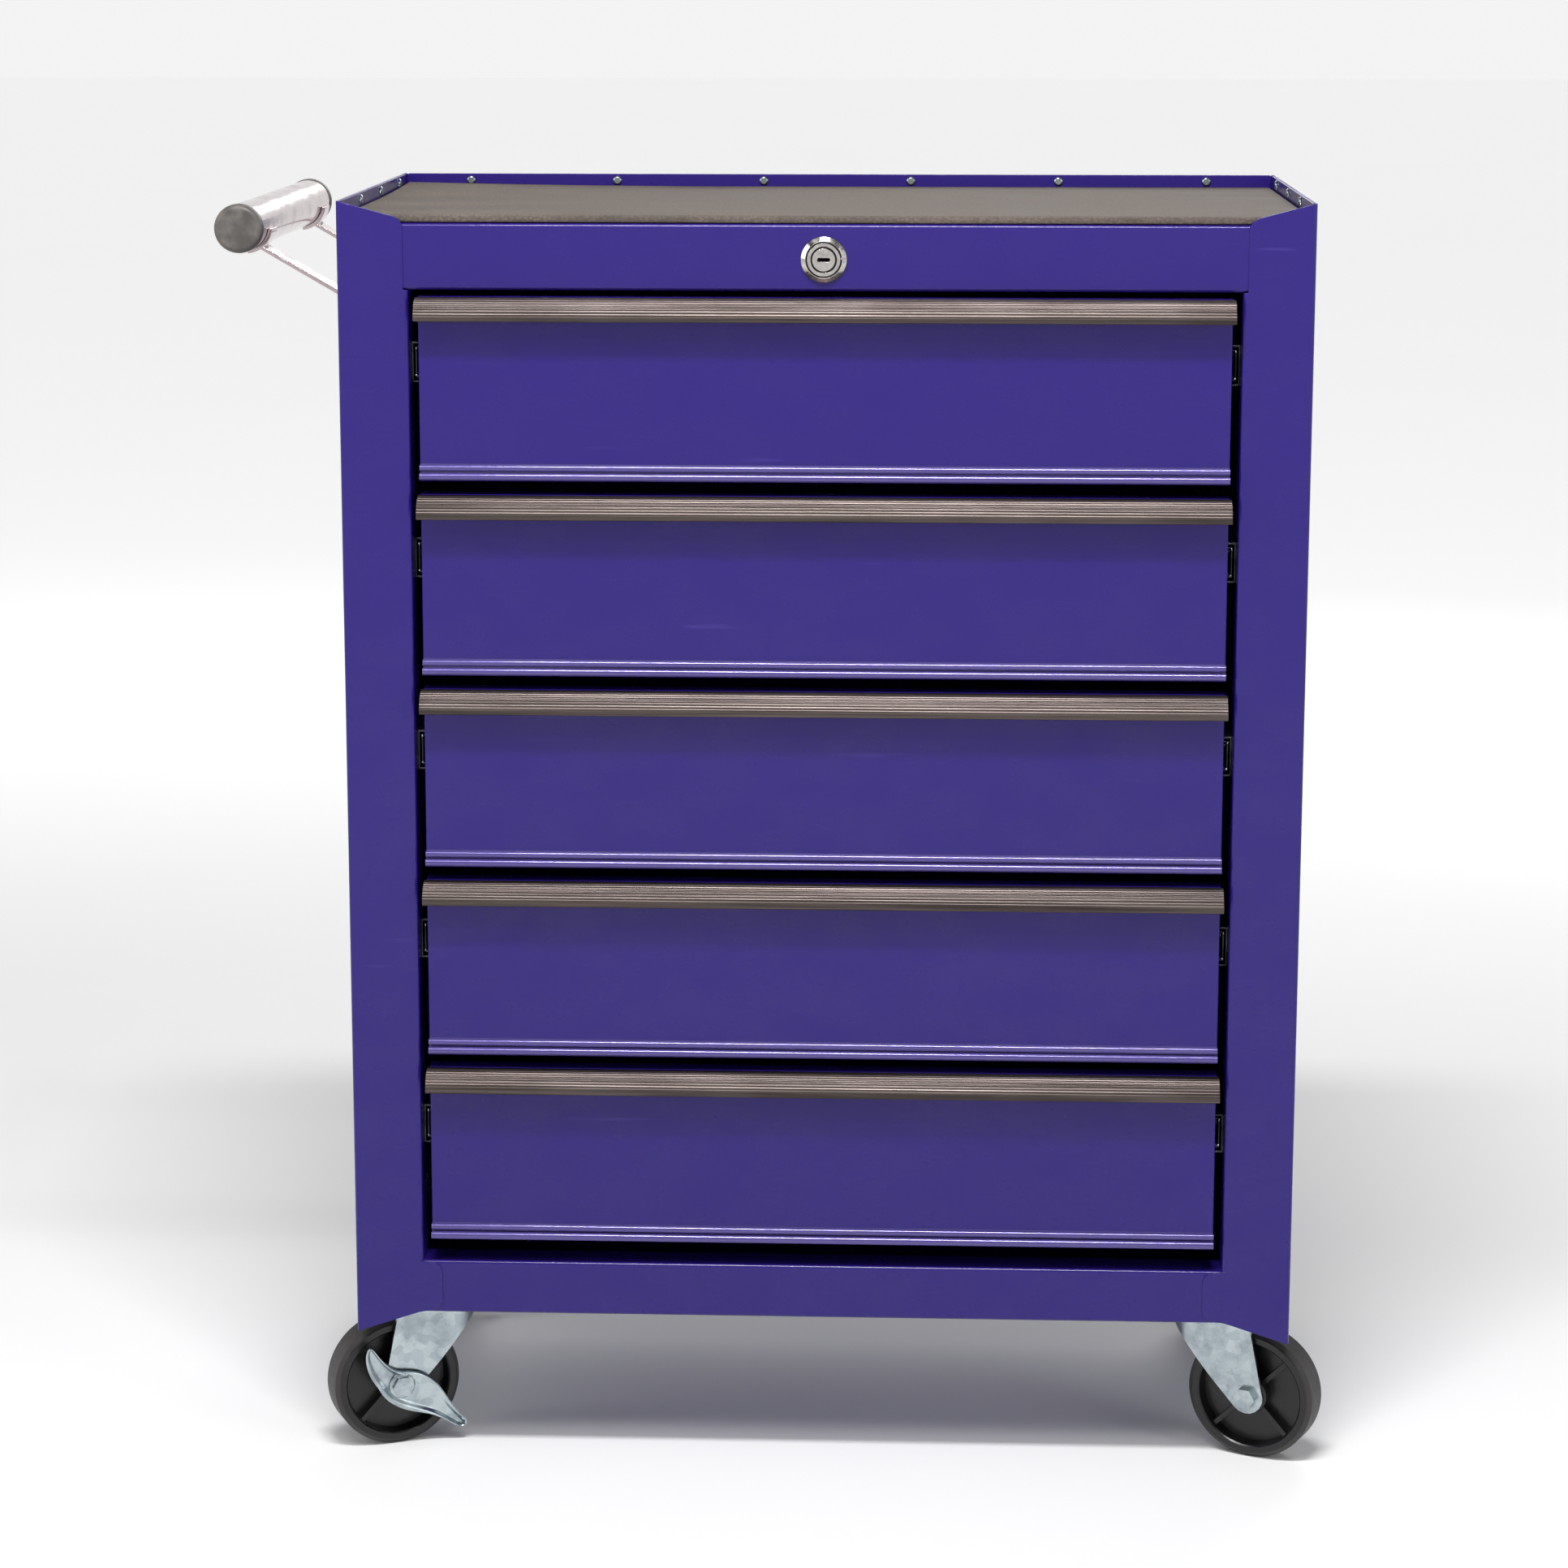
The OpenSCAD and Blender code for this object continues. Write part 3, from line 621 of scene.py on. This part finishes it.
def mat_sheet(columns=120, rows=66):
    build = bmesh.new()
    corner = {}
    for i in range(columns + 1):
        for k in range(rows + 1):
            across, back = i / columns, k / rows
            x = mat_low.x + (mat_high.x - mat_low.x) * across
            y = mat_low.y + (mat_high.y - mat_low.y) * back
            corner[i, k] = build.verts.new((x, y, mat_high.z + mat_height(across, back)))
    for i in range(columns):
        for k in range(rows):
            build.faces.new((corner[i, k], corner[i + 1, k], corner[i + 1, k + 1], corner[i, k + 1]))
    mesh = bpy.data.meshes.new("tray_mat_sheet")
    build.to_mesh(mesh)
    build.free()
    sheet = new_piece("tray_mat_sheet", mesh, mat_finish, "cabinet")
    thick = sheet.modifiers.new("thickness", "SOLIDIFY")
    thick.thickness, thick.offset = mat_high.z - mat_low.z - 0.8 * MM, -1
    cut = sheet.modifiers.new("cut_edge", "BEVEL")
    cut.width, cut.segments, cut.limit_method, cut.angle_limit = 0.9 * MM, 2, "ANGLE", math.radians(50)
    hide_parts("tray_mat")
    return sheet


print("mat sheet", len(mat_sheet().data.vertices), "points")

# %% [markdown]
# ## Ball retainers
# In the gap beside every drawer a bright bead shows: it is the end of the ball cage of the middle slide
# member. It could be painted on, but it has to catch the light, so it is a little turned dome with a tongue
# below it, and it travels with its middle member.


# %% Ball retainers
def dome(build, centre, radius, squash=1.0):
    """A ball flattened front to back, made ring by ring so that its faces come in the same order each run."""
    down, around = 12, 20

    def point(step, spoke):
        tilt, turn = math.pi * step / down, 2 * math.pi * spoke / around
        flat = radius * math.sin(tilt)
        offset = (flat * math.cos(turn), squash * flat * math.sin(turn), radius * math.cos(tilt))
        return build.verts.new(centre + Vector(offset))

    top, foot = point(0, 0), point(down, 0)
    rings = [[point(step, spoke) for spoke in range(around)] for step in range(1, down)]
    for a in range(around):
        b = (a + 1) % around
        build.faces.new((top, rings[0][a], rings[0][b]))
        build.faces.new((foot, rings[-1][b], rings[-1][a]))
        for upper, lower in zip(rings, rings[1:]):
            build.faces.new((upper[a], lower[a], lower[b], upper[b]))


def slab(build, low, high):
    size = Vector(high) - Vector(low)
    made = bmesh.ops.create_cube(build, size=1.0)
    for point in made["verts"]:
        point.co = Vector(low) + size / 2 + Vector(a * b for a, b in zip(point.co, size))


def ball_retainers(number):
    low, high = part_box(f"middle_slides_{number}")
    height = (low.z + high.z) / 2
    build = bmesh.new()
    for side, edge in ((-1, low.x), (1, high.x)):
        x = edge - side * 0.7 * MM
        dome(build, Vector((x, low.y, height + 8.6 * MM)), 1.25 * MM)
        foot = (x - 1.0 * MM, low.y - 0.5 * MM, height - 8.9 * MM)
        slab(build, foot, (x + 0.5 * MM, low.y + 1.5 * MM, height - 8.0 * MM))
    mesh = bpy.data.meshes.new(f"ball_retainers_{number}")
    build.to_mesh(mesh)
    build.free()
    piece = new_piece(f"ball_retainers_{number}", mesh, zinc, f"middle_slides_{number}")
    soft = piece.modifiers.new("round_edges", "BEVEL")
    soft.width, soft.segments, soft.limit_method = 0.2 * MM, 2, "ANGLE"
    return piece


print("retainers", [ball_retainers(number).name for number in DRAWERS])

# %% [markdown]
# ## Lock index
# A little raised mark beside the keyhole shows which way the key stands. The model's lock face is plain
# there, and a tiny block on the ring is enough, because only its bright edge is ever seen.


# %% Lock index
def lock_index():
    low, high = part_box("lock_housing")
    x, z = (low.x + high.x) / 2, (low.z + high.z) / 2
    build = bmesh.new()
    foot = (x + 10.6 * MM, low.y - 0.35 * MM, z + 0.2 * MM)
    slab(build, foot, (x + 14.2 * MM, low.y + 1.2 * MM, z + 1.5 * MM))
    mesh = bpy.data.meshes.new("lock_index")
    build.to_mesh(mesh)
    build.free()
    return new_piece("lock_index", mesh, handle_chrome, "cabinet", smooth=False)


print("made", lock_index().name)

# %% [markdown]
# ## Toe brake levers
# The lever on each left caster is pressed from one sheet: a leaf with a wavy outline, a dished middle that
# stiffens it, and a tab for the toe. Rings of points follow the outline inwards, each ring at its own depth,
# and a subdivision surface turns them into a pressed shape. The caster's own axle gives its place.

# %% Lever rings
# The outline and its middle line, in millimetres from the axle, then how far the axle's button stands out.
LEAF = [
    (22.5, 31), (25.5, 24), (24.6, 15), (21.5, 6.5), (16.5, 0), (13.6, -6.5), (7, -12.5), (0, -16.8),
    (-8, -19.6), (-16, -21.5), (-24, -24.5), (-31, -29), (-38, -34.2), (-43.8, -34), (-45.2, -29.6),
    (-39.5, -24.5), (-34, -17), (-29.5, -9.5), (-25, -1.5), (-18, 5.5), (-9.5, 9), (-1, 9.6), (6, 11.6),
    (13.5, 18.5), (18.5, 26),
]
MIDLINE = [(20.5, 25), (5, 0), (-14, -8.5), (-40, -31)]
BUTTON_OUT = 19.6
# Each ring: its share of the way from the outline to the middle line, and its distance out from the wheel.
RINGS = ((0.0, 19.6), (0.1, 21.2), (0.27, 20.2), (0.48, 18.2), (0.97, 18.4))


def nearest_on_midline(point):
    best = None
    for (ax, az), (bx, bz) in zip(MIDLINE, MIDLINE[1:]):
        dx, dz = bx - ax, bz - az
        t = ((point[0] - ax) * dx + (point[1] - az) * dz) / (dx * dx + dz * dz)
        t = min(1, max(0, t))
        q = (ax + t * dx, az + t * dz)
        far = math.dist(point, q)
        if best is None or far < best[0]:
            best = (far, q)
    return best[1]


def axle_button(corner, axle, out):
    """The domed end of the axle, which holds the lever on. It turns with the fork."""
    build = bmesh.new()
    dome(build, Vector((0, 0, 0)), 9.2 * MM, 0.2)
    dome(build, Vector((0, 0, 0)), 6.4 * MM, 0.78)
    turn = out.to_track_quat("-Y", "Z").to_matrix()
    for point in build.verts:
        point.co = turn @ point.co + axle + out * BUTTON_OUT * MM
    mesh = bpy.data.meshes.new(f"{corner}_axle_button")
    build.to_mesh(mesh)
    build.free()
    return new_piece(f"{corner}_axle_button", mesh, zinc, f"{corner}_fork")


def toe_brake_lever(corner):
    joint = next(j for j in frame["joints"] if j["child"] == f"{corner}_brake")
    wheel_joint = next(j for j in frame["joints"] if j["child"] == f"{corner}_wheel")
    axle = Vector(wheel_joint["pos_m"])
    low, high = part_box(f"{corner}_brake")
    along = Vector(wheel_joint["axis"]).normalized()
    out = along if ((low + high) / 2 - axle).dot(along) > 0 else -along
    outward = Vector((-1, 0, 0))
    trail = (outward - along * outward.dot(along)).normalized()
    up = Vector((0, 0, 1))
    build = bmesh.new()
    loops = []
    for inset, depth in RINGS:
        loop = []
        for x, z in LEAF:
            mx, mz = nearest_on_midline((x, z))
            px, pz = x + (mx - x) * inset, z + (mz - z) * inset
            flare = 2.2 * max(0.0, (-x - 30) / 15) * (1 - inset)
            place = axle + trail * px * MM + up * pz * MM + out * (depth + flare) * MM
            loop.append(build.verts.new(place))
        loops.append(loop)
    for outer, inner in zip(loops, loops[1:]):
        for i in range(len(LEAF)):
            k = (i + 1) % len(LEAF)
            build.faces.new((outer[i], outer[k], inner[k], inner[i]))
    build.faces.new(loops[-1])
    bmesh.ops.recalc_face_normals(build, faces=build.faces)
    mesh = bpy.data.meshes.new(f"{corner}_lever")
    build.to_mesh(mesh)
    build.free()
    lever = new_piece(f"{corner}_lever", mesh, zinc, f"{corner}_brake")
    sheet = lever.modifiers.new("sheet", "SOLIDIFY")
    sheet.thickness, sheet.offset = 1.3 * MM, 0
    round_over = lever.modifiers.new("pressed", "SUBSURF")
    round_over.levels = round_over.render_levels = 2
    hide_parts(f"{corner}_brake")
    axle_button(corner, axle, out)
    return lever


print("levers", [toe_brake_lever(corner).name for corner in ("front_left", "rear_left")])

# %% Finish
bpy.context.view_layer.update()
